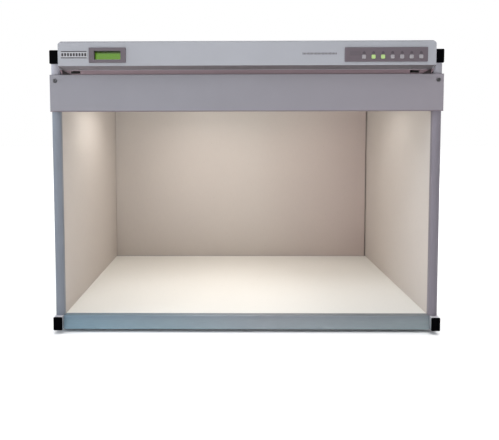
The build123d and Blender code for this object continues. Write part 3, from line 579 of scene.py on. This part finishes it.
def make_floor():
    """A plain white table top, with a sun that only it receives, and a far glow that hides its horizon."""
    mesh = bpy.data.meshes.new("stage floor")
    corners = [(x * FLOOR_HALF, y * FLOOR_HALF, 0) for x, y in ((-1, -1), (1, -1), (1, 1), (-1, 1))]
    mesh.from_pydata(corners, [], [(0, 1, 2, 3)])
    floor = bpy.data.objects.new("stage_floor", mesh)
    bpy.context.scene.collection.objects.link(floor)
    made = Finish("stage paper", specular=0.1)
    paper = made.noise(300.0, detail=3.0)
    made.colour(made.ramp(paper, ((0.3, (0.90, 0.90, 0.90)), (0.7, (0.92, 0.92, 0.92)))))
    made.rough(paper, 0.8, 0.9)
    made.set("Emission Color", (*WHITE, 1.0))
    distance = made.tree.nodes.new("ShaderNodeVectorMath")
    distance.operation = "LENGTH"
    made.link(made.place, distance.inputs[0])
    glow = made.ranged(distance.outputs["Value"], 0.0, FAR_GLOW, GLOW_FROM, GLOW_TO)
    made.link(glow, made.shader.inputs["Emission Strength"])
    mesh.materials.append(made.material)
    floor.visible_glossy = False
    only_floor = bpy.data.collections.new("floor receiver")
    only_floor.objects.link(floor)
    data = bpy.data.lights.new("floor sun", "SUN")
    data.energy, data.angle = SUN_POWER, SUN_ANGLE
    sun = bpy.data.objects.new("floor sun", data)
    bpy.context.scene.collection.objects.link(sun)
    sun.light_linking.receiver_collection = only_floor


# ---- small visible pieces ----
def slabs(name, boxes, material, soften):
    """One mesh of small blocks with softened edges, each given as its low and high corners."""
    shape = bmesh.new()
    for low, high in boxes:
        low, high = Vector(low), Vector(high)
        size, middle = high - low, (low + high) / 2
        place = Matrix.Translation(middle) @ Matrix.Diagonal((*size, 1.0))
        made = bmesh.ops.create_cube(shape, size=1.0, matrix=place)
        edges = {edge for vertex in made["verts"] for edge in vertex.link_edges}
        bmesh.ops.bevel(shape, geom=list(edges), offset=soften, segments=2, affect="EDGES", profile=0.5)
    piece(name, shape, material)


def piece(name, shape, material, body=ROOT, smooth=False):
    """A visible object from a bmesh, riding on a body."""
    mesh = bpy.data.meshes.new(name)
    shape.to_mesh(mesh)
    shape.free()
    mesh.materials.append(material)
    for face in mesh.polygons:
        face.use_smooth = smooth
    made = bpy.data.objects.new(name, mesh)
    bpy.context.scene.collection.objects.link(made)
    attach(made, body)


def prism(shape, outline, near, far):
    """Adds a flat outline in X and Z, given thickness along Y."""
    front = [shape.verts.new((x, near, z)) for x, z in outline]
    back = [shape.verts.new((x, far, z)) for x, z in outline]
    shape.faces.new(front)
    shape.faces.new(list(reversed(back)))
    for i in range(len(outline)):
        k = (i + 1) % len(outline)
        shape.faces.new((front[k], front[i], back[i], back[k]))


INK_LIFT = 0.00008


def printed(name, outlines, face_y, material):
    """Flat printed marks that stand a hair proud of a front face."""
    shape = bmesh.new()
    for outline in outlines:
        prism(shape, outline, face_y - INK_LIFT, face_y)
    bmesh.ops.recalc_face_normals(shape, faces=shape.faces)
    piece(name, shape, material)


def oblong(x, z, width, height, cut=0.0):
    """A rectangle about a middle, its corners cut off by a share of its height."""
    w, h, c = width / 2, height / 2, cut * height
    return [(x - w + c, z - h), (x + w - c, z - h), (x + w, z - h + c), (x + w, z + h - c),
            (x + w - c, z + h), (x - w + c, z + h), (x - w, z + h - c), (x - w, z - h + c)]


def gabled(x, z, width, height):
    """A small upright mark with a pointed top."""
    w = width / 2
    return [(x - w, z), (x + w, z), (x + w, z + height * 0.55), (x, z + height), (x - w, z + height * 0.55)]


SWATCHES = 9
RULE_OFFSET, RULE_HEIGHT = 0.0054, 0.0014
PLATE_MARGIN, SWATCH_HEIGHT = 0.0008, 0.0054
PRINT_Z = 0.5060
TICKS, TICK_START, TICK_PITCH, LONG_EVERY = 25, 0.0985, 0.0024, 5
TICK_WIDTH, TICK_HEIGHT, LONG_TICK_HEIGHT = 0.0015, 0.0036, 0.0044
KEY_MARK_WIDTH, KEY_MARK_HEIGHT, KEY_MARK_GAP = 0.0052, 0.0050, 0.0004
FIELD_INSET, FIELD_WIDTH, FIELD_HEIGHT = 0.0180, 0.0200, 0.0075


def make_prints():
    """Generic print: rules and a grey scale on the plate, ticks on the pod, a mark over each key."""
    ink = moulded("print ink", (0.035, 0.033, 0.038), rough=0.5)
    low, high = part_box("nameplate")
    centre, middle, span = (low.x + high.x) / 2, (low.z + high.z) / 2, high.x - low.x - 2 * PLATE_MARGIN
    rules = [oblong(centre, middle + side * RULE_OFFSET, span, RULE_HEIGHT, 0.2) for side in (-1, 1)]
    printed("plate_rules", rules, low.y, ink)
    pitch, first = span / SWATCHES, (SWATCHES - 1) / 2
    swatches = [oblong(centre + pitch * (i - first), middle, pitch * 0.68, SWATCH_HEIGHT, 0.12)
                for i in range(SWATCHES)]
    grey = moulded("print grey", (0.050, 0.046, 0.050), rough=0.5)
    printed("plate_greyscale", swatches, low.y, grey)

    face_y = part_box("pod_shell")[0].y
    heights = [TICK_HEIGHT if i % LONG_EVERY else LONG_TICK_HEIGHT for i in range(TICKS)]
    ticks = [oblong(TICK_START + TICK_PITCH * i, PRINT_Z, TICK_WIDTH, height, 0.15)
             for i, height in enumerate(heights)]
    faint = moulded("print faint", (0.150, 0.140, 0.150), rough=0.5)
    printed("pod_ticks", ticks, face_y, faint)

    face_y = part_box("key_panel")[0].y
    marks = []
    for index in range(1, 8):
        low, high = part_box(f"key_{index}")
        centre, foot = (low.x + high.x) / 2, high.z + KEY_MARK_GAP
        marks.append(gabled(centre, foot, KEY_MARK_WIDTH, KEY_MARK_HEIGHT))
    printed("key_marks", marks, face_y, moulded("mark ink", (0.090, 0.073, 0.087), rough=0.5))
    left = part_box("key_panel")[0].x
    field = oblong(left + FIELD_INSET, PRINT_Z, FIELD_WIDTH, FIELD_HEIGHT, 0.1)
    printed("panel_field", [field], face_y, moulded("field ink", (0.128, 0.106, 0.122), rough=0.5))


# ---- lamps and the back ----
def coil(shape, radius, length, turns, wire):
    """A fine wire wound in a helix along X, from small rings bridged together."""
    per_turn, sides = 10, 6
    steps = turns * per_turn
    rings = []
    for i in range(steps + 1):
        turn = 2 * math.pi * i / per_turn
        out, along = Vector((0, math.cos(turn), math.sin(turn))), Vector((1, 0, 0))
        middle = Vector((length * (i / steps - 0.5), radius * math.cos(turn), radius * math.sin(turn)))
        rings.append([shape.verts.new(middle + out * wire * math.cos(a) + along * wire * math.sin(a))
                      for a in (2 * math.pi * k / sides for k in range(sides))])
    for first, second in zip(rings, rings[1:]):
        for k in range(sides):
            shape.faces.new((first[k], first[(k + 1) % sides], second[(k + 1) % sides], second[k]))
    shape.faces.new(list(reversed(rings[0])))
    shape.faces.new(rings[-1])


def rod(shape, start, end, radius, sides=10, taper=1.0):
    """A round bar between two points, its far end a share of its near radius."""
    start, end = Vector(start), Vector(end)
    turn = (end - start).to_track_quat("Z", "Y").to_matrix().to_4x4()
    bmesh.ops.create_cone(shape, cap_ends=True, segments=sides, radius1=radius, radius2=radius * taper,
                          depth=(end - start).length, matrix=Matrix.Translation((start + end) / 2) @ turn)


STEM_FROM, STEM_TO, STEM_RADIUS = 0.003, 0.040, 0.0042
SUPPORT_FROM, SUPPORT_RADIUS = 0.036, 0.0005
COIL_AT, COIL_RADIUS, COIL_LENGTH, COIL_TURNS, WIRE_RADIUS = 0.058, 0.0012, 0.019, 14, 0.00022


def make_filaments():
    """Inside each tungsten lamp: a glass stem, two support wires and the coil."""
    wire = glowing("filament", (0.9, 0.6, 0.3), (1.0, 0.62, 0.28), 3.0)
    stem_glass = moulded("stem glass", (0.62, 0.62, 0.60), rough=0.2, coat=0.4, depth=0.00001)
    for name, side in SIDES:
        low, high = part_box(f"bulb_{name}")
        y, z = (low.y + high.y) / 2, (low.z + high.z) / 2
        cap_x = low.x if side < 0 else high.x
        shape = bmesh.new()
        rod(shape, (cap_x - side * STEM_FROM, y, z), (cap_x - side * STEM_TO, y, z), STEM_RADIUS, taper=0.55)
        for offset in (-COIL_LENGTH / 2, COIL_LENGTH / 2):
            far_end = (cap_x - side * COIL_AT, y + offset, z)
            rod(shape, (cap_x - side * SUPPORT_FROM, y, z), far_end, SUPPORT_RADIUS, sides=6)
        piece(f"bulb_stem_{name}", shape, stem_glass)
        shape = bmesh.new()
        coil(shape, COIL_RADIUS, COIL_LENGTH, COIL_TURNS, WIRE_RADIUS)
        place = Matrix.Translation((cap_x - side * COIL_AT, y, z))
        shape.transform(place @ Matrix.Rotation(math.radians(90), 4, "Z"))
        piece(f"filament_{name}", shape, wire, smooth=True)


def ring(shape, inner, outer, near, far, sides=28):
    """A flat ring about the Y axis."""
    loops = [[shape.verts.new((radius * math.cos(a), y, radius * math.sin(a)))
              for a in (2 * math.pi * k / sides for k in range(sides))]
             for radius, y in ((outer, near), (outer, far), (inner, far), (inner, near))]
    for first, second in zip(loops, loops[1:] + loops[:1]):
        for k in range(sides):
            shape.faces.new((first[k], first[(k + 1) % sides], second[(k + 1) % sides], second[k]))


PIVOT, ROCKER_TILT = (-0.225, 0.2143, 0.511), math.radians(12.0)
FACET_MIDDLE, FACET_SLOPE = (0.0039, 0.0037125), math.atan2(1.5, 7.2)
MARK_SUNK, MARK_PROUD = -0.00002, 0.00008
BAR_WIDTH, BAR_HEIGHT, RING_INNER, RING_OUTER = 0.0009, 0.0046, 0.0015, 0.0022


def make_rocker_marks():
    """The bar and the ring moulded on the two facets of the power rocker."""
    white = moulded("mark white", (0.70, 0.70, 0.68), rough=0.4)
    stance = Matrix.Translation(PIVOT) @ Matrix.Rotation(ROCKER_TILT, 4, "Z")
    for name, side in (("bar", -1), ("ring", 1)):
        shape = bmesh.new()
        if name == "bar":
            prism(shape, oblong(0.0, 0.0, BAR_WIDTH, BAR_HEIGHT), MARK_SUNK, MARK_PROUD)
        else:
            ring(shape, RING_INNER, RING_OUTER, MARK_SUNK, MARK_PROUD)
        bmesh.ops.recalc_face_normals(shape, faces=shape.faces)
        facet = Matrix.Translation((side * FACET_MIDDLE[0], FACET_MIDDLE[1], 0.0))
        shape.transform(stance @ facet @ Matrix.Rotation(side * FACET_SLOPE, 4, "Z"))
        piece(f"rocker_{name}", shape, white, body="power_rocker")


PIN_HALF_WIDTH, PIN_HALF_HEIGHT = 0.00112, 0.00212
PIN_ROOT, PIN_TIP = 0.0145, 0.0019
PIN_PLACES = ((-0.007, -0.002), (0.0, 0.002), (0.007, -0.002))


def make_inlet_pins():
    """Plated sleeves on the pins of the mains inlet."""
    low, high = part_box("mains_inlet")
    x, z, mouth = (low.x + high.x) / 2, (low.z + high.z) / 2, high.y
    pins = []
    for dx, dz in PIN_PLACES:
        near = (x + dx - PIN_HALF_WIDTH, mouth - PIN_ROOT, z + dz - PIN_HALF_HEIGHT)
        far = (x + dx + PIN_HALF_WIDTH, mouth - PIN_TIP, z + dz + PIN_HALF_HEIGHT)
        pins.append((near, far))
    slabs("inlet_pins", pins, plated("pin plating", (0.62, 0.60, 0.55), rough=0.25), soften=0.0003)


make_camera()
make_lights()
make_world()
make_floor()
make_prints()
make_filaments()
make_rocker_marks()
make_inlet_pins()
